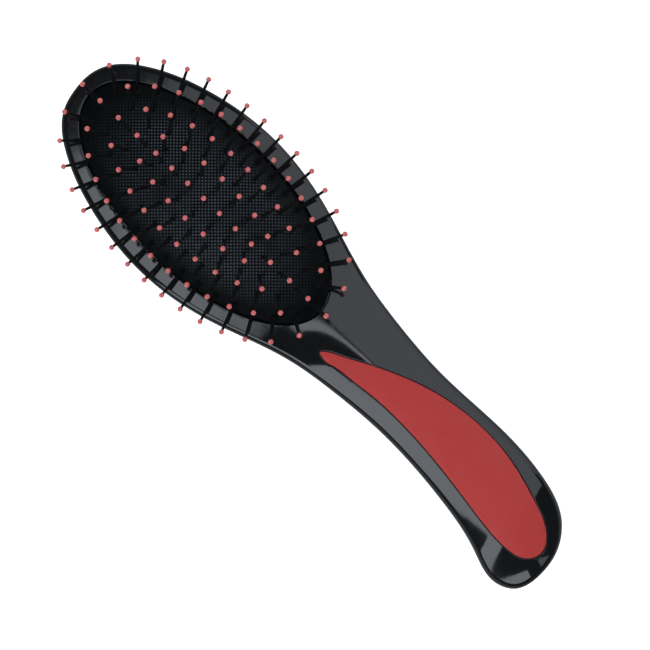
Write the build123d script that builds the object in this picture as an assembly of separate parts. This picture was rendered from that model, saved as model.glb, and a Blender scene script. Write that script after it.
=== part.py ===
from build123d import *
from math import cos, pi, sin, sqrt
import os

# Paddle brush lying on its back, bristles up. Lengths are in millimetres.
# Stations run along +X from the tip of the head to the butt of the handle, and the head's
# midline is Y = 0. Each node is moved at the end, so that the origin is under the middle.

# body
LENGTH = 245.0
RIM_Z = 15.0                # flat rim round the cushion
PARTING_Z = 8.0             # where the two shells meet
WALL = 3.0
BACK_ROUND = 7.0
FRONT_ROUND = 2.0
CAVITY_TOP = 10.8
LAP_WIDTH = 1.4             # the back shell's lip, which stands inside the front shell's wall
LAP_HEIGHT = 1.5
LAP_GAP = 0.1

HEAD_SIDE = [(3.6, 12.9), (14.5, 22.1), (36.4, 30.7), (65.4, 34.35), (94.5, 29.8), (123.6, 20.7)]
HANDLE_LEFT = [(145.4, 16.65), (170.8, 14.5), (200.0, 14.95), (221.7, 12.6), (236.3, 6.7)]
BUTT = [(243.4, -3.0), (245.0, -13.5), (242.0, -23.8)]
HANDLE_RIGHT = [(234.5, -27.3), (221.7, -24.1), (200.0, -19.0), (170.8, -16.4), (145.4, -17.5)]

# the handle's crowned front, its bend in plan and its arched back
CROWN_START, CROWN_FULL = 112.0, 165.0
CROWN_RISE = 2.0
CROWN_FALL = 3.5
HALF_HANDLE = 17.0
BUTT_DROP, BUTT_DROP_START = 3.0, 222.0
BEND_START, BEND = 150.0, 12.5
ARCH_START, ARCH_END, ARCH_RISE = 118.0, 208.0, 2.0

# cushion: a cap of a spheroid over a short oval wall, with a lip clamped inside the body
PAD_CENTRE = 63.3
PAD_LONG, PAD_WIDE = 57.3, 26.8
PAD_GAP = 0.3
PAD_RIM_Z = 14.4
PAD_CROWN = 11.6
RUBBER = 1.2
LIP = 2.0
LIP_TOP = 12.9
RIB_TOP = LIP_TOP - RUBBER
RIB_WIDTH = 1.8

# pins, measured from the rubber's outer face along the pin
PIN_BASE_R, PIN_END_R = 0.8, 0.5
PIN_HOLE_R = 0.95
PIN_HEAD_R, PIN_HEAD = 1.5, 0.75
PIN_HEAD_GAP = 0.2
BALL_R = 0.95
BALL_AT = 18.9

# rings of pins: name, half-length, half-width, bluntness of the oval, number of pins
RINGS = [
    ("outer_ring", 53.0, 23.6, 2.2, 34),
    ("second_ring", 45.5, 18.3, 2.0, 28),
    ("third_ring", 37.6, 12.2, 2.0, 22),
    ("inner_ring", 29.4, 6.35, 2.0, 16),
]
ZONES = [("end", 0.86), ("shoulder", 0.55), ("side", 0.0)]   # by distance along the ring's length
CENTRE_ROW, CENTRE_COUNT = 21.1, 7

# grip insert
INSERT_DEPTH = 1.8
INSERT_PROUD = 0.25
INSERT_ROUND = 0.2
INSERT_GAP = 0.1
INSERT_OUTLINE = [
    (131.0, -10.0), (133.0, -8.4), (138.0, -5.9), (145.5, -2.2), (156.0, 2.6), (170.0, 7.4),
    (189.0, 10.3), (207.0, 9.2), (225.0, 4.1), (236.0, -1.3), (239.7, -7.5), (237.0, -13.3),
    (230.0, -15.5), (214.5, -14.4), (196.0, -11.4), (174.5, -9.1), (157.0, -9.0), (145.0, -10.1),
    (138.0, -11.0), (133.0, -11.4),
]
PEG_STATIONS = (156.0, 190.0, 224.0)     # pegs between the shells
PEG_R, PEG_POST_R, PEG_HOLE_R = 1.6, 3.0, 1.7

TALL = 60.0                              # higher than anything here
BEYOND = 20.0                            # how far cutting shapes run past the body's ends
GRID_STEP, GRID_MARGIN, GRID_HALF_WIDTH = 6, 12, 48     # points of the front face's surface
FACE_FIT = 0.002
BODY_SAMPLES, INSERT_SAMPLES = 48, 60    # points of the outlines that are moved inwards
HOLE_REACH = 3.0                         # of a pin's hole each way from the rubber's face


# ---------------------------------------------------------------- shapes in plan and in section
def ease(t):
    """0 before t = 0, 1 after t = 1, and smooth between them."""
    t = min(max(t, 0.0), 1.0)
    return t * t * (3 - 2 * t)


def handle_midline(x):
    return -BEND * max(0.0, (x - BEND_START) / (LENGTH - BEND_START)) ** 3


def front_height(x, y):
    """Height of the body's front face: flat on the head, crowned on the handle."""
    across = (y - handle_midline(x)) / HALF_HANDLE
    crown = ease((x - CROWN_START) / (CROWN_FULL - CROWN_START))
    drop = BUTT_DROP * ease((x - BUTT_DROP_START) / (LENGTH - BUTT_DROP_START))
    return RIM_Z + crown * (CROWN_RISE - CROWN_FALL * across ** 2) - drop


def body_outline():
    other_side = [(x, -y) for x, y in reversed(HEAD_SIDE)]
    points = [(0.0, 0.0)] + HEAD_SIDE + HANDLE_LEFT + BUTT + HANDLE_RIGHT + other_side
    return Spline(*points, periodic=True)


def moved_in(edge, inset, samples):
    """The face inside a closed curve that has been moved inwards."""
    points = []
    for i in range(samples):
        at, along = edge @ (i / samples), edge % (i / samples)
        inwards = Vector(along.Y, -along.X)
        points.append(at + inwards * inset)
    return make_face(Spline(*points, periodic=True))


def inset_outline(inset):
    return moved_in(body_outline(), inset, BODY_SAMPLES)


def slab(face, low, high):
    return extrude(Pos(0, 0, low) * face, high - low)


def oval(grow=0.0):
    """The cushion's outline in plan, grown by an amount."""
    return Pos(PAD_CENTRE, 0, 0) * make_face(Ellipse(PAD_LONG + grow, PAD_WIDE + grow).edge())


def under_front(rise=0.0):
    """Everything below the body's front face, moved up or down."""
    across = range(-GRID_HALF_WIDTH, GRID_HALF_WIDTH + 1, GRID_STEP)
    along = range(-GRID_MARGIN, int(LENGTH) + GRID_MARGIN + GRID_STEP, GRID_STEP)
    grid = [[(x, y, front_height(x, y) + rise) for y in across] for x in along]
    surface = Face.make_surface_from_array_of_points(grid, tol=FACE_FIT)
    return Solid.extrude(surface, Vector(0, 0, -TALL))


def above_back():
    """Everything above the body's back: flat under the head and the grip, arched between."""
    middle = (ARCH_START + ARCH_END) / 2
    arch = Spline(
        (ARCH_START, 0), (middle, ARCH_RISE), (ARCH_END, 0), tangents=[(1, 0), (1, 0)]
    )
    start, end = -BEYOND, LENGTH + BEYOND
    profile = Wire([
        Line((start, 0), (ARCH_START, 0)), arch, Line((ARCH_END, 0), (end, 0)),
        Line((end, 0), (end, TALL)), Line((end, TALL), (start, TALL)), Line((start, TALL), (start, 0)),
    ])
    return extrude(Plane.XZ * make_face(profile), TALL, both=True)


# ---------------------------------------------------------------- body
def free_edges(faces):
    """The edges that only one of these faces has."""
    edges = [e for f in faces for e in f.edges()]
    return [e for e in edges if sum(e.is_same(other) for other in edges) == 1]


def body_blank():
    """The closed outer shape of the whole body."""
    prism = slab(make_face(body_outline()), -BEYOND, TALL / 2)
    blank = (prism & under_front() & above_back()).solid()
    low = [f for f in blank.faces() if f.normal_at().Z < -0.9]
    blank = blank.fillet(BACK_ROUND, free_edges(low))
    front = max(blank.faces(), key=lambda f: f.center().Z)
    return blank.fillet(FRONT_ROUND, front.edges())


def recess():
    """The pocket for the grip insert."""
    return slab(make_face(insert_outline()), 0, TALL / 2) - under_front(-INSERT_DEPTH)


def front_shell(blank):
    shell = blank & Pos(LENGTH / 2, 0, PARTING_Z + TALL / 2) * Box(2 * LENGTH, TALL * 2, TALL)
    shell -= slab(inset_outline(WALL), 0, CAVITY_TOP)
    shell -= slab(inset_outline(WALL - LAP_WIDTH - LAP_GAP), 0, PARTING_Z + LAP_HEIGHT + LAP_GAP)
    shell -= slab(oval(LIP + PAD_GAP), 0, LIP_TOP)
    shell -= slab(oval(PAD_GAP), 0, TALL)
    for x in PEG_STATIONS:
        at = Pos(x, handle_midline(x), PARTING_Z)
        socket = extrude(Circle(PEG_POST_R) - Circle(PEG_HOLE_R), CAVITY_TOP - PARTING_Z)
        shell += at * socket
    return shell - recess()


def back_shell(blank):
    shell = blank & Pos(LENGTH / 2, 0, PARTING_Z - TALL / 2) * Box(2 * LENGTH, TALL * 2, TALL)
    cavity = slab(inset_outline(WALL), WALL, TALL)
    shell -= cavity
    lip = inset_outline(WALL - LAP_WIDTH) - inset_outline(WALL)
    shell += slab(lip, PARTING_Z, PARTING_Z + LAP_HEIGHT)
    rib = oval(LIP) - oval(LIP - RIB_WIDTH)
    shell += slab(rib, WALL, RIB_TOP)
    for x in PEG_STATIONS:
        at = Pos(x, handle_midline(x), WALL)
        shell += at * extrude(Circle(PEG_POST_R), PARTING_Z - WALL)
        shell += at * extrude(Circle(PEG_R), CAVITY_TOP - WALL - LAP_GAP)
    return shell


# ---------------------------------------------------------------- grip insert
def insert_outline():
    return Spline(*INSERT_OUTLINE, periodic=True)


def grip_insert():
    outline = moved_in(insert_outline(), INSERT_GAP, INSERT_SAMPLES)
    pad = slab(outline, 0, TALL / 2) & under_front(INSERT_PROUD)
    pad = (pad - under_front(-INSERT_DEPTH)).solid()
    top = max(pad.faces(), key=lambda f: f.center().Z)
    return pad.fillet(INSERT_ROUND, top.edges())


# ---------------------------------------------------------------- cushion
DOME_R = (PAD_WIDE ** 2 + PAD_CROWN ** 2) / (2 * PAD_CROWN)     # round section across the brush
DOME_LONG = PAD_LONG * DOME_R / PAD_WIDE                        # half-length of the spheroid
DOME_Z = PAD_RIM_Z + PAD_CROWN - DOME_R


def spheroid(less=0.0):
    """The spheroid that the cushion is a cap of, made smaller by an amount."""
    half = make_face(Wire([
        EllipticalCenterArc((0, 0), DOME_LONG - less, DOME_R - less, arc_size=180),
        Line((-DOME_LONG + less, 0), (DOME_LONG - less, 0)),
    ]))
    return Pos(PAD_CENTRE, 0, DOME_Z) * revolve(Plane.XZ * half, Axis.X)


def cushion(pins):
    above = Pos(PAD_CENTRE, 0, PAD_RIM_Z + TALL / 2) * Box(LENGTH, TALL * 2, TALL)
    outside = (spheroid() & above) + slab(oval(), RIB_TOP, PAD_RIM_Z)
    outside += slab(oval(LIP), RIB_TOP, LIP_TOP)
    inside = (spheroid(RUBBER) & above) + slab(oval(-RUBBER), RIB_TOP - 1, PAD_RIM_Z)
    hole = Pos(0, 0, -HOLE_REACH) * extrude(Circle(PIN_HOLE_R), 2 * HOLE_REACH)
    holes = [pin * hole for pin in pins]
    return outside - inside - holes


# ---------------------------------------------------------------- pins
def pin_place(x, y):
    """Where a pin stands on the cushion: square to the rubber."""
    z = DOME_R * sqrt(1 - (x / DOME_LONG) ** 2 - (y / DOME_R) ** 2)
    normal = Vector(x / DOME_LONG ** 2, y / DOME_R ** 2, z / DOME_R ** 2)
    return Plane((PAD_CENTRE + x, y, DOME_Z + z), z_dir=normal).location


def ring_points(half_length, half_width, bluntness, count, samples=720):
    """Evenly spaced points round a blunt oval, from its end nearest the tip of the head."""
    power = 2 / bluntness
    curve = []
    for i in range(samples + 1):
        c, s = -cos(2 * pi * i / samples), sin(2 * pi * i / samples)
        curve.append(Vector(
            half_length * abs(c) ** power * (1 if c > 0 else -1),
            half_width * abs(s) ** power * (1 if s > 0 else -1),
        ))
    travelled = [0.0]
    for a, b in zip(curve, curve[1:]):
        travelled.append(travelled[-1] + (b - a).length)
    points, j = [], 0
    for k in range(count):
        goal = travelled[-1] * k / count
        while travelled[j + 1] <= goal:
            j += 1
        share = (goal - travelled[j]) / (travelled[j + 1] - travelled[j])
        points.append(curve[j] + (curve[j + 1] - curve[j]) * share)
    return [(p.X, p.Y) for p in points]


def pin_groups():
    """Node prefix of each group of pins, with the places of its pins."""
    groups = {}
    for ring, half_length, half_width, bluntness, count in RINGS:
        for x, y in ring_points(half_length, half_width, bluntness, count):
            zone = next(name for name, start in ZONES if abs(x) >= start * half_length)
            groups.setdefault(f"{ring}_{zone}", []).append(pin_place(x, y))
    step = 2 * CENTRE_ROW / (CENTRE_COUNT - 1)
    for k in range(CENTRE_COUNT):
        x = k * step - CENTRE_ROW
        zone = "centre_row_end" if abs(x) > CENTRE_ROW / 2 else "centre_row_middle"
        groups.setdefault(zone, []).append(pin_place(x, 0.0))
    return groups


def pin():
    """One pin with its flat head under the rubber and a taper above it."""
    under = -RUBBER - PIN_HEAD_GAP
    profile = Polyline(
        (0, under - PIN_HEAD), (PIN_HEAD_R, under - PIN_HEAD), (PIN_HEAD_R, under),
        (PIN_BASE_R, under), (PIN_BASE_R, 0), (PIN_END_R, BALL_AT - BALL_R),
        (PIN_END_R, BALL_AT), (0, BALL_AT), close=True,
    )
    return revolve(Plane.XZ * make_face(profile), Axis.Z)


def tip():
    """The ball that is dipped onto the pin's end."""
    exit_z = BALL_AT - sqrt(BALL_R ** 2 - PIN_END_R ** 2)
    profile = Wire([
        Line((0, BALL_AT), (PIN_END_R, BALL_AT)),
        Line((PIN_END_R, BALL_AT), (PIN_END_R, exit_z)),
        ThreePointArc((PIN_END_R, exit_z), (BALL_R, BALL_AT), (0, BALL_AT + BALL_R)),
        Line((0, BALL_AT + BALL_R), (0, BALL_AT)),
    ])
    return revolve(Plane.XZ * make_face(profile), Axis.Z)


# ---------------------------------------------------------------- writing the nodes
def write(node, shape):
    moved = Pos(-LENGTH / 2, 0, 0) * shape
    export_step(moved, f"parts/{node}.step")


def main():
    os.makedirs("parts", exist_ok=True)
    groups = pin_groups()
    blank = body_blank()
    write("front_shell", front_shell(blank))
    write("back_shell", back_shell(blank))
    write("grip_insert", grip_insert())
    write("cushion", cushion([place for places in groups.values() for place in places]))
    one_pin = pin()
    one_tip = tip()
    for name, places in groups.items():
        write(f"{name}_pins", Compound([place * one_pin for place in places]))
        write(f"{name}_tips", Compound([place * one_tip for place in places]))


main()
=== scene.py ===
import math
import bmesh
import bpy
import numpy as np
from mathutils import Matrix, Vector


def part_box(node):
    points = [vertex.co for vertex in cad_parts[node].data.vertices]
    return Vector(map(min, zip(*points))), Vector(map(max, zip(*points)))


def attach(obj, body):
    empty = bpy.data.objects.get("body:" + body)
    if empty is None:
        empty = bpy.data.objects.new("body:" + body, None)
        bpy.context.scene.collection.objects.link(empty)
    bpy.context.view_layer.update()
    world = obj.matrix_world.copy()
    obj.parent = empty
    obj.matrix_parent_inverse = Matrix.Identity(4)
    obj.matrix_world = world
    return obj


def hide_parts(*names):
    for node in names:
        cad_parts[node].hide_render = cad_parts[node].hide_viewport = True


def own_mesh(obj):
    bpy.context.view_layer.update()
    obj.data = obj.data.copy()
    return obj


# The paddle brush's looks: finer skins for the two shells, the grip insert and the cushion, and
# materials for them and for the frame's own pins and tips, under soft studio light.
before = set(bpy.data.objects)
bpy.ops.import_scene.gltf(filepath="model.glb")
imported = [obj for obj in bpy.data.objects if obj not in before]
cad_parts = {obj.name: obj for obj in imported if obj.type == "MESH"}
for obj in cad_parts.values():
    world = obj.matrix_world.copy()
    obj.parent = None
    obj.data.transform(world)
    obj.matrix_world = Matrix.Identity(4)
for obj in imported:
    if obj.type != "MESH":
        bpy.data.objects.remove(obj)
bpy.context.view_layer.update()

# ------------------------------------------------------------------ sizes, in metres
MM = 0.001
CAD_WELD = 1e-6                              # joins the points that CAD faces share
TIP_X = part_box("back_shell")[0].x            # the tip of the head
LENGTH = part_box("back_shell")[1].x - TIP_X
PARTING_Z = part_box("front_shell")[0].z
RIM_Z = 15.0 * MM
WALL = 3.0 * MM
CAVITY_TOP = 10.8 * MM
BACK_ROUND, FRONT_ROUND = 7.0 * MM, 2.0 * MM
GROOVE = 0.24 * MM                           # depth and half width of the line between the shells
EDGE_ROUND = 0.5 * MM                        # of the opening round the cushion
BODY_SAMPLES = 720                           # points round the outline
BODY_SPINE_ENDS = (30.0 * MM, 16.0 * MM)     # from the head's tip and from the butt

# the handle's crowned front, bend in plan and arched back, by distance from the tip
CROWN_START, CROWN_FULL = 112.0 * MM, 165.0 * MM
CROWN_RISE, CROWN_FALL = 2.0 * MM, 3.5 * MM
HALF_HANDLE = 17.0 * MM
BUTT_DROP, BUTT_DROP_START = 3.0 * MM, 222.0 * MM
BEND_START, BEND = 150.0 * MM, 12.5 * MM
ARCH_START, ARCH_END, ARCH_RISE = 118.0 * MM, 208.0 * MM, 2.0 * MM

# cushion
LIP_LOW, LIP_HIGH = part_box("cushion")
PAD_X = (LIP_LOW.x + LIP_HIGH.x) / 2
PAD_TOP = LIP_HIGH.z
LIP = 2.0 * MM
PAD_LONG = (LIP_HIGH.x - LIP_LOW.x) / 2 - LIP
PAD_WIDE = (LIP_HIGH.y - LIP_LOW.y) / 2 - LIP
PAD_GAP = 0.3 * MM
PAD_RIM_Z = 14.4 * MM
PAD_FOOT_Z = 12.9 * MM
RUBBER = 1.2 * MM
PAD_SAMPLES, PAD_RINGS, PAD_INNER_RINGS = 900, 200, 12
BOSS_R, BOSS_SLOPE, BOSS_HEIGHT = 1.05 * MM, 0.75 * MM, 0.5 * MM
NET_PITCH, NET_HEIGHT = 1.15 * MM, 0.06 * MM
NET_TURN = math.radians(43.6)                # from the brush's length to the net's rows
NET_FADE = (0.35, 0.8)                       # squared share of the way out: whole, and gone
NET_WAVE = (-0.4, 0.9)                       # the part of a cosine that rises into a dot

# grip insert
INSERT_DEPTH, INSERT_PROUD = 1.8 * MM, 0.25 * MM
INSERT_ROUND = 0.45 * MM
INSERT_GAP = 0.18 * MM
RECESS_ROUND = 0.3 * MM                      # of the edge round the recess
INSERT_SAMPLES = 360
INSERT_SPINE_ENDS = (12.0 * MM, 10.0 * MM)


# ------------------------------------------------------------------ curves and surfaces
def ease(t):
    """From 0 to 1 in an S-shaped curve, and flat outside."""
    t = np.clip(t, 0.0, 1.0)
    return t * t * (3 - 2 * t)


def front_height(x, y):
    """The body's front face: flat on the head, crowned on the handle."""
    s = np.asarray(x) - TIP_X
    midline = -BEND * np.maximum(0.0, (s - BEND_START) / (LENGTH - BEND_START)) ** 3
    across = (y - midline) / HALF_HANDLE
    crown = ease((s - CROWN_START) / (CROWN_FULL - CROWN_START))
    drop = BUTT_DROP * ease((s - BUTT_DROP_START) / (LENGTH - BUTT_DROP_START))
    return RIM_Z + crown * (CROWN_RISE - CROWN_FALL * across ** 2) - drop


def back_height(x):
    """The body's back: flat under the head and the grip, arched between them."""
    middle, half = (ARCH_START + ARCH_END) / 2, (ARCH_END - ARCH_START) / 2
    return ARCH_RISE * ease(1 - np.abs(x - TIP_X - middle) / half)


def closed_spline(points, parameters):
    """A smooth periodic curve through the points, read at parameters from 0 to 1."""
    n = len(points)
    gaps = np.linalg.norm(np.roll(points, -1, 0) - points, axis=1)
    knots = np.r_[0, np.cumsum(gaps)]
    matrix, right = np.zeros((n, n)), np.zeros((n, 2))
    for i in range(n):
        before, after = gaps[i - 1], gaps[i]
        matrix[i, i - 1] += before
        matrix[i, i] += 2 * (before + after)
        matrix[i, (i + 1) % n] += after
        slope_after = (points[(i + 1) % n] - points[i]) / after
        right[i] = 6 * (slope_after - (points[i] - points[i - 1]) / before)
    bend = np.linalg.solve(matrix, right)
    at = np.mod(parameters, 1.0) * knots[-1]
    i = np.clip(np.searchsorted(knots, at, side="right") - 1, 0, n - 1)
    j, h = (i + 1) % n, gaps[i][:, None]
    a = ((knots[i + 1] - at) / gaps[i])[:, None]
    b = 1 - a
    cubic = ((a ** 3 - a) * bend[i] + (b ** 3 - b) * bend[j]) * h * h / 6
    return a * points[i] + b * points[j] + cubic


def welded(node):
    """A CAD node's mesh as a bmesh whose faces share their points."""
    bm = bmesh.new()
    bm.from_mesh(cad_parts[node].data)
    bmesh.ops.remove_doubles(bm, verts=bm.verts, dist=CAD_WELD)
    return bm


def node_outline(node, samples):
    """A CAD node's outline in plan, from where its side wall meets its underside.
    It starts at the lowest X, and both of its sides have the same number of points."""
    under, upright, fine_samples = -0.8, 0.3, 8192
    bm = welded(node)
    links = {}
    for edge in bm.edges:
        if len(edge.link_faces) != 2:
            continue
        low, high = sorted(f.normal.z for f in edge.link_faces)
        if low < under and abs(high) < upright:
            a, b = edge.verts
            links.setdefault(a.index, []).append(b.index)
            links.setdefault(b.index, []).append(a.index)
    bm.verts.ensure_lookup_table()
    place = {i: bm.verts[i].co.xy.to_tuple() for i in links}
    bm.free()

    loops, unseen = [], set(links)
    while unseen:
        first = here = min(unseen)
        loop = []
        while here in unseen:
            unseen.remove(here)
            loop.append(place[here])
            onward = [i for i in links[here] if i in unseen]
            here = onward[0] if onward else first
        loops.append(np.array(loop))
    loop = max(loops, key=lambda p: np.ptp(p[:, 0]) * np.ptp(p[:, 1]))

    x, y = loop.T
    if np.sum(x * np.roll(y, -1) - np.roll(x, -1) * y) > 0:
        loop = loop[::-1]
    fine = closed_spline(loop, np.arange(fine_samples) / fine_samples)
    fine = np.roll(fine, -int(np.argmin(fine[:, 0])), 0)
    butt = int(np.argmax(fine[:, 0]))
    sides = []
    for side in (fine[: butt + 1], np.vstack([fine[butt:], fine[:1]])):
        travelled = np.r_[0, np.cumsum(np.linalg.norm(np.diff(side, axis=0), axis=1))]
        even = np.linspace(0, travelled[-1], samples // 2 + 1)[:-1]
        sides.append(np.c_[tuple(np.interp(even, travelled, axis) for axis in side.T)])
    return np.vstack(sides)


def inwards(outline):
    """At each point of an outline, the direction into it, at right angles to the line."""
    along = np.roll(outline, -1, 0) - np.roll(outline, 1, 0)
    along /= np.linalg.norm(along, axis=1)[:, None]
    return np.c_[along[:, 1], -along[:, 0]]


def spine_of(outline, ends):
    """Points along the middle of an outline, one for each of its points."""
    n = len(outline)
    upper = outline[: n // 2 + 1]
    lower = np.vstack([outline[n // 2:], outline[:1]])[::-1]
    x0, x1 = outline[:, 0].min(), outline[:, 0].max()
    share = np.linspace(0, 1, n // 2 + 1)
    x = x0 + ends[0] + share * (x1 - x0 - ends[0] - ends[1])
    y = (np.interp(x, upper[:, 0], upper[:, 1]) + np.interp(x, lower[:, 0], lower[:, 1])) / 2
    half = np.c_[x, y]
    return np.vstack([half[:-1], half[:0:-1]])


def ring(outline, z):
    """An outline in plan lifted to one height or to a height for each point."""
    return np.c_[outline, np.broadcast_to(z, len(outline))]


def quarter(steps, start=0.0):
    """The angles of a quarter round, in even steps from start to a right angle."""
    return [start + (math.pi / 2 - start) * k / steps for k in range(steps + 1)]


def fill_rings(edge, spine, height, steps):
    """Rings from an edge in to its spine, on the surface given by height.
    The first two stay close to the edge, to keep its shading crisp."""
    shares = [0.006, 0.02] + [k / steps for k in range(1, steps + 1)]
    rings = []
    for share in shares:
        flat = edge[:, :2] * (1 - share) + spine * share
        rings.append(ring(flat, height(flat[:, 0], flat[:, 1])))
    return rings


def skin(name, rings):
    """A closed mesh through rings of equal length, whose first and last rings lie on a spine."""
    weld, sliver = 2e-6, 1e-7
    count = len(rings[0])
    vertices = np.vstack(rings)
    faces = []
    for r in range(len(rings) - 1):
        for i in range(count):
            j = (i + 1) % count
            a, b = r * count, (r + 1) * count
            faces.append((a + i, a + j, b + j, b + i))
    mesh = bpy.data.meshes.new(name)
    mesh.from_pydata(vertices.tolist(), [], faces)
    bm = bmesh.new()
    bm.from_mesh(mesh)
    bmesh.ops.remove_doubles(bm, verts=bm.verts, dist=weld)
    bmesh.ops.dissolve_degenerate(bm, edges=bm.edges, dist=sliver)
    bmesh.ops.recalc_face_normals(bm, faces=bm.faces)
    bm.to_mesh(mesh)
    bm.free()
    obj = bpy.data.objects.new(name, mesh)
    bpy.context.scene.collection.objects.link(obj)
    return obj


def smooth(obj, angle=35.0, weighted=True):
    """Shades obj smooth, but for edges sharper than the angle in degrees."""
    obj.data.polygons.foreach_set("use_smooth", [True] * len(obj.data.polygons))
    obj.data.set_sharp_from_angle(angle=math.radians(angle))
    if weighted:
        modifier = obj.modifiers.new("weighted_normals", "WEIGHTED_NORMAL")
        modifier.keep_sharp = True
        modifier.weight = 80


def cut(obj, cutter):
    """Takes the cutter out of obj for good."""
    modifier = obj.modifiers.new("cut", "BOOLEAN")
    modifier.operation, modifier.solver, modifier.object = "DIFFERENCE", "EXACT", cutter
    evaluated = obj.evaluated_get(bpy.context.evaluated_depsgraph_get())
    mesh = bpy.data.meshes.new_from_object(evaluated)
    obj.modifiers.clear()
    obj.data = mesh
    bpy.data.objects.remove(cutter)


# ------------------------------------------------------------------ pieces
def hollow(outline, spine, z):
    """The inside of a shell: its flat ceiling or floor at z, then its wall to the parting line."""
    inside = outline + inwards(outline) * WALL
    edge = ring(inside, z)
    return fill_rings(edge, spine, lambda x, y: z, steps=4)[::-1] + [edge, ring(inside, PARTING_Z)]


def front_shell(outline):
    """The rim, the handle's crowned front and the wall down to the parting line."""
    inward = inwards(outline)
    spine = spine_of(outline, BODY_SPINE_ENDS)
    rings = hollow(outline, spine, CAVITY_TOP)
    rings.append(ring(outline + inward * GROOVE, PARTING_Z))
    rings.append(ring(outline, PARTING_Z + GROOVE))
    low, high = PARTING_Z + GROOVE * 1.5, front_height(*outline.T) - FRONT_ROUND
    for share in (0.0, 0.3, 0.7):
        rings.append(ring(outline, low + share * (high - low)))
    for angle in quarter(steps=10):
        flat = outline + inward * FRONT_ROUND * (1 - math.cos(angle))
        rings.append(ring(flat, front_height(*flat.T) - FRONT_ROUND * (1 - math.sin(angle))))
    rings += fill_rings(rings[-1], spine, front_height, steps=26)
    return skin("front_shell_gloss", rings)


def back_shell(outline):
    """The wall from the parting line, its large round and the flat back."""
    inward = inwards(outline)
    spine = spine_of(outline, BODY_SPINE_ENDS)
    rings = hollow(outline, spine, WALL)
    rings.append(ring(outline + inward * GROOVE, PARTING_Z))
    start_z = PARTING_Z - GROOVE
    back = back_height(outline[:, 0])
    first = np.arcsin(np.clip(1 - (start_z - back) / BACK_ROUND, 0, 1))
    rings.append(ring(outline, start_z))
    for angle in quarter(steps=18, start=first):
        flat = outline + inward * (BACK_ROUND * (1 - np.cos(angle)))[:, None]
        z = back_height(flat[:, 0]) + BACK_ROUND * (1 - np.sin(angle))
        rings.append(ring(flat, np.minimum(z, start_z)))
    rings += fill_rings(rings[-1], spine, lambda x, y: back_height(x), steps=26)
    return skin("back_shell_gloss", rings)


def opening_cutter():
    """An oval plug whose top flares, so that it leaves a rounded edge round the opening."""
    samples, below, above = 360, 2 * MM, 5 * MM
    turn = np.arange(samples) / samples * 2 * math.pi
    levels = [(0.0, PARTING_Z - below)]
    for angle in quarter(steps=6):
        z = RIM_Z - EDGE_ROUND * (1 - math.sin(angle))
        levels.append((EDGE_ROUND * (1 - math.cos(angle)), z))
    levels.append((EDGE_ROUND, RIM_Z + above))
    rings = []
    for grow, z in levels:
        flat = np.c_[
            PAD_X + (PAD_LONG + PAD_GAP + grow) * np.cos(turn),
            (PAD_WIDE + PAD_GAP + grow) * np.sin(turn),
        ]
        rings.append(ring(flat, z))
    centre = np.tile([PAD_X, 0.0], (samples, 1))
    rings = [ring(centre, levels[0][1])] + rings + [ring(centre, levels[-1][1])]
    return skin("opening_cutter", rings)


def insert_floor(edge, spine, steps):
    """The underside of the insert, or of its recess, from the spine out to its edge."""
    def depth(x, y):
        return front_height(x, y) - INSERT_DEPTH

    bottom = ring(edge, depth(*edge.T))
    return fill_rings(bottom, spine, depth, steps)[::-1] + [bottom]


def recess_cutter(outline):
    """A plug for the insert's recess, with a rounded edge where it meets the handle's front."""
    top_z = RIM_Z + 8 * MM
    inward = inwards(outline)
    spine = spine_of(outline, INSERT_SPINE_ENDS)
    grown = outline - inward * INSERT_GAP
    rings = insert_floor(grown, spine, steps=6)
    for angle in quarter(steps=4):
        flat = grown - inward * RECESS_ROUND * (1 - math.cos(angle))
        rings.append(ring(flat, front_height(*flat.T) - RECESS_ROUND * (1 - math.sin(angle))))
    top = ring(rings[-1][:, :2], top_z)
    rings.append(top)
    rings += fill_rings(top, spine, lambda x, y: top_z, steps=2)
    return skin("recess_cutter", rings)


def grip_insert(outline):
    """The leaf-shaped insert, which stands just proud of the handle's front."""
    inward = inwards(outline)
    spine = spine_of(outline, INSERT_SPINE_ENDS)
    rings = insert_floor(outline, spine, steps=4)
    for angle in quarter(steps=6):
        flat = outline + inward * INSERT_ROUND * (1 - math.cos(angle))
        lift = INSERT_PROUD - INSERT_ROUND * (1 - math.sin(angle))
        rings.append(ring(flat, front_height(*flat.T) + lift))
    rings += fill_rings(
        rings[-1], spine, lambda x, y: front_height(x, y) + INSERT_PROUD, steps=18
    )
    return skin("grip_insert_soft", rings)


def islands(node):
    """The separate solids of a CAD node, as arrays of points."""
    bm = welded(node)
    unseen, found = set(bm.verts), []
    while unseen:
        waiting, island = [unseen.pop()], []
        while waiting:
            vert = waiting.pop()
            island.append(vert.co.to_tuple())
            for edge in vert.link_edges:
                other = edge.other_vert(vert)
                if other in unseen:
                    unseen.remove(other)
                    waiting.append(other)
        found.append(np.array(island))
    bm.free()
    return found


DOME_H = PAD_TOP - PAD_RIM_Z
DOME_R = (PAD_WIDE ** 2 + DOME_H ** 2) / (2 * DOME_H)
DOME_LONG = PAD_LONG * DOME_R / PAD_WIDE


def dome_height(x, y, less=0.0):
    """The spheroid that the cushion is a cap of, or the one that lies less inside it."""
    inside = 1 - ((x - PAD_X) / (DOME_LONG - less)) ** 2 - (y / (DOME_R - less)) ** 2
    return PAD_TOP - DOME_R + (DOME_R - less) * np.sqrt(np.maximum(inside, 0))


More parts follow.
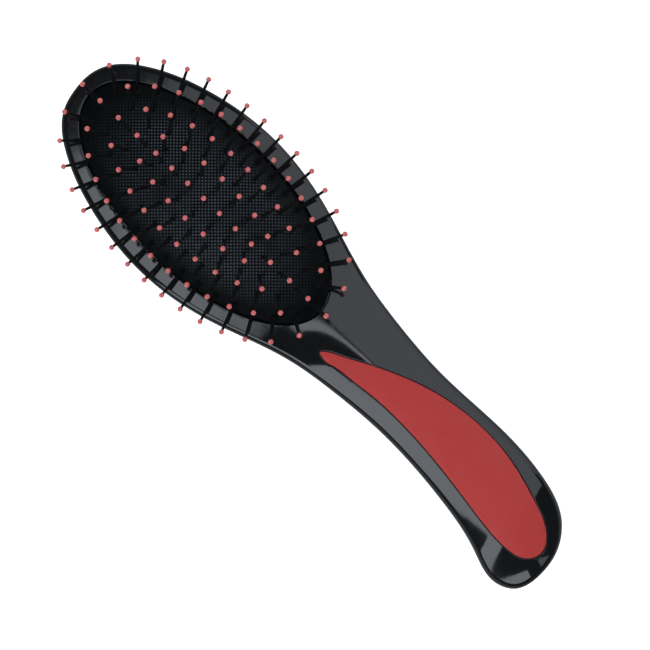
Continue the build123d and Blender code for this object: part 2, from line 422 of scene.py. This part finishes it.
def pin_roots():
    """Where each pin comes out of the rubber: the point of the dome whose normal meets the
    centre of the pin's ball, found by steps that shrink the miss."""
    steps, step_share = 40, 0.8
    balls = [
        (p.min(0) + p.max(0)) / 2
        for name in sorted(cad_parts) if name.endswith("_tips") for p in islands(name)
    ]
    balls = np.array(balls)
    root = balls.copy()
    centre = np.array([PAD_X, 0.0, PAD_TOP - DOME_R])
    axes = np.array([DOME_LONG, DOME_R, DOME_R])
    for _ in range(steps):
        local = (root - centre) / axes
        root = centre + local / np.linalg.norm(local, axis=1)[:, None] * axes
        normal = (root - centre) / axes ** 2
        normal /= np.linalg.norm(normal, axis=1)[:, None]
        reach = np.sum((balls - root) * normal, axis=1)[:, None]
        root = root + (balls - (root + normal * reach)) * step_share
    return root


def net_relief(x, y):
    """Height of the fine net of dots on the rubber, from 0 to 1, which fades towards the edge."""
    along = x * math.cos(NET_TURN) + y * math.sin(NET_TURN)
    across = y * math.cos(NET_TURN) - x * math.sin(NET_TURN)
    dots = 1.0
    for place in (along, across):
        wave = np.cos(place * 2 * math.pi / NET_PITCH)
        dots = dots * ease((wave - NET_WAVE[0]) / (NET_WAVE[1] - NET_WAVE[0]))
    out = ((x - PAD_X) / PAD_LONG) ** 2 + (y / PAD_WIDE) ** 2
    return dots * np.clip((NET_FADE[1] - out) / (NET_FADE[1] - NET_FADE[0]), 0, 1)


def cushion():
    """The rubber dome, with a boss round each pin and the net of dots, and its hollow inside."""
    roots = pin_roots()
    turn = np.arange(PAD_SAMPLES) / PAD_SAMPLES * 2 * math.pi
    unit = np.c_[np.cos(turn), np.sin(turn)]

    def oval(share, less=0.0):
        return unit * share * [PAD_LONG - less, PAD_WIDE - less] + [PAD_X, 0]

    rings = []
    for k in range(PAD_RINGS + 1):
        flat = oval(k / PAD_RINGS)
        z = dome_height(*flat.T)
        away = np.min(np.linalg.norm(flat[:, None, :] - roots[None, :, :2], axis=2), axis=1)
        z = z + BOSS_HEIGHT * ease((BOSS_R + BOSS_SLOPE / 2 - away) / BOSS_SLOPE)
        z = z + NET_HEIGHT * net_relief(*flat.T) * ease((away - BOSS_R) / BOSS_SLOPE)
        rings.append(ring(flat, np.minimum(z, PAD_TOP)))
    rings.append(ring(oval(1.0), (PAD_RIM_Z + PAD_FOOT_Z) / 2))
    rings.append(ring(oval(1.0), PAD_FOOT_Z))
    rings.append(ring(oval(1.0, RUBBER), PAD_FOOT_Z))
    for k in range(PAD_INNER_RINGS, -1, -1):
        flat = oval(k / PAD_INNER_RINGS, RUBBER)
        rings.append(ring(flat, dome_height(*flat.T, RUBBER)))
    return skin("air_cushion", rings)


# ------------------------------------------------------------------ materials
def material(name):
    """A new material, with its node tree and its main shader."""
    made = bpy.data.materials.new(name)
    made.use_nodes = True
    tree = made.node_tree
    return made, tree, tree.nodes["Principled BSDF"]


def shader_node(tree, kind, **inputs):
    """A new node, whose inputs are given by name with _ for each space."""
    made = tree.nodes.new(kind)
    for key, value in inputs.items():
        made.inputs[key.replace("_", " ")].default_value = value
    return made


def object_place(tree):
    """The place in the piece's own frame, from one node shared by the whole material."""
    where = tree.nodes.get("where") or tree.nodes.new("ShaderNodeTexCoord")
    where.name = "where"
    return where.outputs["Object"]


def noise(tree, scale, detail=3.0, roughness=0.5):
    """Noise from 0 to 1, with the scale in patches for each metre."""
    made = shader_node(tree, "ShaderNodeTexNoise", Scale=scale, Detail=detail, Roughness=roughness)
    tree.links.new(object_place(tree), made.inputs["Vector"])
    return made.outputs["Fac"]


def spread(tree, value, low, high, start=0.3, end=0.7):
    """Goes from low to high as the value goes from start to end, and no further."""
    made = shader_node(tree, "ShaderNodeMapRange")
    for key, number in (("From Min", start), ("From Max", end), ("To Min", low), ("To Max", high)):
        made.inputs[key].default_value = number
    tree.links.new(value, made.inputs["Value"])
    return made.outputs["Result"]


def axes_of(tree, vector):
    """The outputs X, Y and Z of a vector."""
    split = tree.nodes.new("ShaderNodeSeparateXYZ")
    tree.links.new(vector, split.inputs["Vector"])
    return split.outputs


def mix_colour(tree, factor, a, b):
    """Colour a where the factor is 0 and b where it is 1."""
    made = tree.nodes.new("ShaderNodeMix")
    made.data_type = "RGBA"
    made.inputs["A"].default_value = (*a, 1)
    made.inputs["B"].default_value = (*b, 1)
    tree.links.new(factor, made.inputs["Factor"])
    return made.outputs["Result"]


def bump(tree, height, strength, distance, below=None):
    """The normal of a relief, on top of another one where below is given."""
    made = shader_node(tree, "ShaderNodeBump", Strength=strength, Distance=distance)
    tree.links.new(height, made.inputs["Height"])
    if below:
        tree.links.new(below, made.inputs["Normal"])
    return made.outputs["Normal"]


def combine(tree, operation, a, b=0.0):
    """A maths node's result, for numbers or other nodes' outputs."""
    made = tree.nodes.new("ShaderNodeMath")
    made.operation = operation
    for socket, value in zip(made.inputs, (a, b)):
        if isinstance(value, (int, float)):
            socket.default_value = value
        else:
            tree.links.new(value, socket)
    return made.outputs["Value"]


def gloss_black():
    """Polished moulded plastic: faint flow in the gloss, fine orange peel and rubbed patches."""
    made, tree, shader = material("gloss_black_plastic")
    tree.links.new(
        mix_colour(tree, noise(tree, 25), (0.0035, 0.0042, 0.005), (0.006, 0.0068, 0.008)),
        shader.inputs["Base Color"],
    )
    worn = spread(tree, noise(tree, 60, 6.0, 0.7), 0.03, 0.085)
    tree.links.new(worn, shader.inputs["Roughness"])
    wave = bump(tree, noise(tree, 90, 2.0), 0.25, 0.00004)
    tree.links.new(bump(tree, noise(tree, 1800, 2.0), 0.12, 0.00001, wave), shader.inputs["Normal"])
    shader.inputs["IOR"].default_value = 1.5
    return made


def soft_red():
    """Matte soft-touch rubber with a fine sandy grain."""
    made, tree, shader = material("soft_touch_red")
    tree.links.new(
        mix_colour(tree, noise(tree, 700, 4.0, 0.7), (0.36, 0.026, 0.026), (0.45, 0.040, 0.038)),
        shader.inputs["Base Color"],
    )
    tree.links.new(spread(tree, noise(tree, 120, 4.0), 0.5, 0.66), shader.inputs["Roughness"])
    shader.inputs["Specular IOR Level"].default_value = 0.3
    grain = bump(tree, noise(tree, 2600, 3.0, 0.7), 0.35, 0.00006)
    tree.links.new(grain, shader.inputs["Normal"])
    shader.inputs["Sheen Weight"].default_value = 0.15
    shader.inputs["Sheen Roughness"].default_value = 0.5
    return made


def net_rubber_painted_sheen():
    """Black rubber with a fine square net moulded into its top, which fades towards the edge; the
    net's threads are coloured light and bluish, a painted sheen of the cool light they would catch.
    """
    made, tree, shader = material("net_rubber_painted_sheen")
    turned = shader_node(tree, "ShaderNodeMapping", Rotation=(0, 0, -NET_TURN))
    tree.links.new(object_place(tree), turned.inputs["Vector"])
    rows = axes_of(tree, turned.outputs["Vector"])
    threads = []
    for axis in ("X", "Y"):
        phase = combine(tree, "MULTIPLY", rows[axis], 2 * math.pi / NET_PITCH)
        threads.append(spread(tree, combine(tree, "COSINE", phase), 0, 1, *NET_WAVE))
    net = combine(tree, "MULTIPLY", *threads)

    place = axes_of(tree, object_place(tree))
    along = combine(tree, "DIVIDE", combine(tree, "SUBTRACT", place["X"], PAD_X), PAD_LONG)
    across = combine(tree, "DIVIDE", place["Y"], PAD_WIDE)
    squares = [combine(tree, "MULTIPLY", share, share) for share in (along, across)]
    fade = spread(tree, combine(tree, "ADD", *squares), 1.0, 0.0, *NET_FADE)
    patchy = combine(tree, "MULTIPLY", fade, spread(tree, noise(tree, 45, 2.0), 0.35, 1.0))
    net_and_painted_sheen = combine(tree, "MULTIPLY", net, patchy)
    # painted sheen: the net's threads get a light bluish colour in place of the glint of the cool
    # light on them; the same mask also gives the net's real relief in the bump
    tree.links.new(
        mix_colour(tree, net_and_painted_sheen, (0.0015, 0.0025, 0.0030), (0.110, 0.130, 0.165)),
        shader.inputs["Base Color"],
    )
    tree.links.new(spread(tree, noise(tree, 150, 4.0), 0.42, 0.6), shader.inputs["Roughness"])
    fine = bump(tree, noise(tree, 1500, 3.0), 0.2, 0.00003)
    tree.links.new(bump(tree, net_and_painted_sheen, 0.8, 0.0001, fine), shader.inputs["Normal"])
    shader.inputs["Specular IOR Level"].default_value = 0.12
    return made


def pin_black():
    """Satin black nylon."""
    made, tree, shader = material("pin_nylon")
    tree.links.new(
        mix_colour(tree, noise(tree, 300), (0.004, 0.004, 0.005), (0.009, 0.009, 0.010)),
        shader.inputs["Base Color"],
    )
    tree.links.new(spread(tree, noise(tree, 400, 4.0), 0.25, 0.42), shader.inputs["Roughness"])
    tree.links.new(bump(tree, noise(tree, 2500, 2.0), 0.2, 0.00002), shader.inputs["Normal"])
    return made


def tip_red():
    """Dipped beads: slightly translucent salmon red, unevenly coated."""
    made, tree, shader = material("dipped_tip_red")
    tree.links.new(
        mix_colour(tree, noise(tree, 500, 2.0), (0.50, 0.085, 0.090), (0.66, 0.19, 0.18)),
        shader.inputs["Base Color"],
    )
    tree.links.new(spread(tree, noise(tree, 900, 3.0), 0.22, 0.4), shader.inputs["Roughness"])
    tree.links.new(bump(tree, noise(tree, 1500, 2.0), 0.3, 0.00004), shader.inputs["Normal"])
    shader.inputs["Subsurface Weight"].default_value = 0.15
    shader.inputs["Subsurface Radius"].default_value = (0.0008, 0.0003, 0.0002)
    return made


# ------------------------------------------------------------------ building
def dress(obj, made):
    """Gives obj this one material."""
    obj.data.materials.clear()
    obj.data.materials.append(made)


body_outline = node_outline("front_shell", BODY_SAMPLES)
insert_outline = node_outline("grip_insert", INSERT_SAMPLES)
black = gloss_black()

front = front_shell(body_outline)
cut(front, opening_cutter())
cut(front, recess_cutter(insert_outline))
smooth(front)
back = back_shell(body_outline)
smooth(back)
insert = grip_insert(insert_outline)
smooth(insert, angle=60.0)
pad = cushion()
smooth(pad, angle=60.0, weighted=False)

for piece, cad_node, made, slot in (
    (front, "front_shell", black, "body_gloss"),
    (back, "back_shell", black, "body_gloss"),
    (insert, "grip_insert", soft_red(), "grip_red"),
    (pad, "cushion", net_rubber_painted_sheen(), "cushion_rubber"),
):
    dress(piece, made)
    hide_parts(cad_node)
    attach(piece, "body")

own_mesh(pad)

shaft_look, ball_look = pin_black(), tip_red()
for name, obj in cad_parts.items():
    if name.endswith("_pins"):
        dress(obj, shaft_look)
    elif name.endswith("_tips"):
        dress(obj, ball_look)
    else:
        continue
    smooth(obj, angle=40.0, weighted=False)


# ------------------------------------------------------------------ floor, light and camera
CAMERA_HEIGHT = 1.5                          # over the rim, as the panels' height is
PANEL_HEIGHT = 2.0
VIEW_WIDTH, SENSOR = 0.2363, 36.0            # what the camera sees across, and mm of sensor
CAMERA_OVER = Vector((0.018, -0.040))
AIM = Vector((0.003, -0.0021, RIM_Z))
ROLL = math.radians(43.6)                    # how far the brush is turned in the view
FLOOR_REACH, FLOOR_DROP = 4.0, 0.2 * MM
COOL = (0.88, 0.93, 1.0)


def area_light(name, place, aim, size, power, colour=(1, 1, 1)):
    """A rectangular light at a place, turned towards its aim."""
    light = bpy.data.lights.new(name, "AREA")
    light.shape, light.size, light.size_y = "RECTANGLE", *size
    light.energy, light.color = power, colour
    obj = bpy.data.objects.new(name, light)
    obj.location = place
    obj.rotation_euler = (Vector(aim) - Vector(place)).to_track_quat("-Z", "Y").to_euler()
    bpy.context.scene.collection.objects.link(obj)
    return obj


def panel(name, place, aim, size, radiance):
    """A cool soft panel that looks this bright whatever its size."""
    area_light(name, place, aim, size, radiance * math.pi * size[0] * size[1], COOL)


def panel_over(name, low, high, radiance):
    """A soft panel over the brush, between two corners in plan."""
    size = (high[0] - low[0], high[1] - low[1])
    place = ((low[0] + high[0]) / 2, (low[1] + high[1]) / 2, PANEL_HEIGHT + RIM_Z)
    panel(name, place, (place[0], place[1], 0), size, radiance)


def white_floor():
    """White paper under the brush, which the gloss doesn't mirror."""
    mesh = bpy.data.meshes.new("floor")
    reach = FLOOR_REACH
    corners = [(-reach, -reach, 0), (reach, -reach, 0), (reach, reach, 0), (-reach, reach, 0)]
    mesh.from_pydata(corners, [], [(0, 1, 2, 3)])
    floor = bpy.data.objects.new("floor", mesh)
    floor.location.z = -FLOOR_DROP
    bpy.context.scene.collection.objects.link(floor)
    paper, _, shader = material("white_paper")
    shader.inputs["Base Color"].default_value = (0.9, 0.9, 0.9, 1)
    shader.inputs["Roughness"].default_value = 0.9
    shader.inputs["Specular IOR Level"].default_value = 0.0
    shader.inputs["Emission Color"].default_value = (1, 1, 1, 1)
    shader.inputs["Emission Strength"].default_value = 0.8
    mesh.materials.append(paper)
    floor.visible_glossy = False
    return floor


def studio():
    """The room: light at and below the horizon, and dark above."""
    world = bpy.data.worlds.new("studio")
    bpy.context.scene.world = world
    world.use_nodes = True
    tree = world.node_tree
    sky = tree.nodes["Background"]
    sky.inputs["Color"].default_value = (0.9, 0.95, 1.0, 1)
    direction = tree.nodes.new("ShaderNodeTexCoord")
    height = axes_of(tree, direction.outputs["Generated"])["Z"]
    tree.links.new(spread(tree, height, 0.55, 0.06, -0.15, 0.35), sky.inputs["Strength"])


def camera():
    """A long lens over the brush, turned so that the brush lies across the view."""
    data = bpy.data.cameras.new("camera")
    data.lens = SENSOR * CAMERA_HEIGHT / VIEW_WIDTH
    obj = bpy.data.objects.new("camera", data)
    bpy.context.scene.collection.objects.link(obj)
    obj.location = (CAMERA_OVER.x, CAMERA_OVER.y, CAMERA_HEIGHT + RIM_Z)
    backwards = (obj.location - AIM).normalized()
    up = Vector((-math.sin(ROLL), math.cos(ROLL), 0))
    right = up.cross(backwards).normalized()
    up = backwards.cross(right)
    obj.rotation_euler = Matrix((right, up, backwards)).transposed().to_euler()
    return obj


white_floor()
studio()

# The flat rim mirrors the first panel along its lower side and the second along its upper side;
# the handle's crown mirrors the far part of the second and the third.
panel_over("panel_rim", (-0.272, -0.040), (-0.055, 0.020), 3.3)
panel_over("panel_upper", (-0.262, 0.052), (0.80, 2.00), 1.40)
panel_over("panel_lower", (-0.045, -3.00), (0.60, -0.50), 3.4)
panel("panel_side", (0.1, 2.9, 1.6), (0.1, 0, 1.6), (1.4, 2.5), 1.2)
for name, place, power in (
    ("fill_lower", (0.2, -1.6, 1.6), 26),
    ("fill_upper", (0.0, 1.6, 1.6), 14),
    ("fill_end", (-1.7, 0.0, 1.4), 10),
):
    fill = area_light(name, place, (0, 0, 0), (1.6, 1.6), power)
    fill.visible_glossy = False

bpy.context.scene.camera = camera()
bpy.context.scene.view_settings.view_transform = "Standard"
